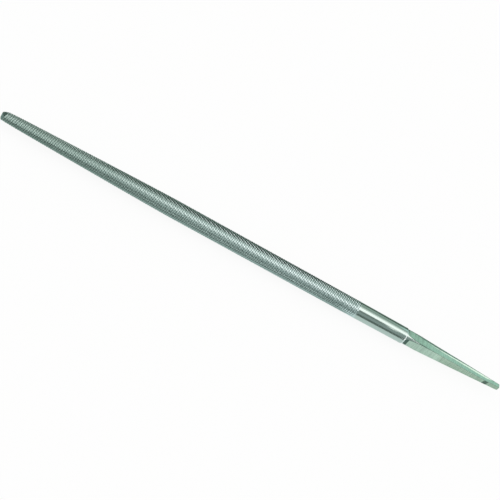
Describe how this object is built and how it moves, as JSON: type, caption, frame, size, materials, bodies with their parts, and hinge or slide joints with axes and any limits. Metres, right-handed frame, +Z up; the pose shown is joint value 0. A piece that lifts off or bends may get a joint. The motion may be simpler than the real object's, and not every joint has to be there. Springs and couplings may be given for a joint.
{
  "type": "round file",
  "caption": "Round bastard-cut file without a handle: slim bar with a tapered point and crossed rows of teeth, a plain shank and a square tang that tapers to fit a handle.",
  "frame": {"origin": "the middle of the shoulder, on the file's axis, where a handle ends and from where the file's length is measured", "axes": "+X along the file's axis from the point to the tang, +Z up, square to two of the tang's flats"},
  "size_m": [0.25, 0.0082, 0.0082],
  "materials": {
    "cut_steel": "hardened tool steel, freshly cut teeth, satin",
    "ground_steel": "hardened tool steel, ground bright",
    "tang_steel": "soft tool steel, ground satin along the tang"
  },
  "bodies": {
    "root": {"cut_body": "cut_steel", "shank": "ground_steel", "tang": "tang_steel"}
  },
  "joints": []
}
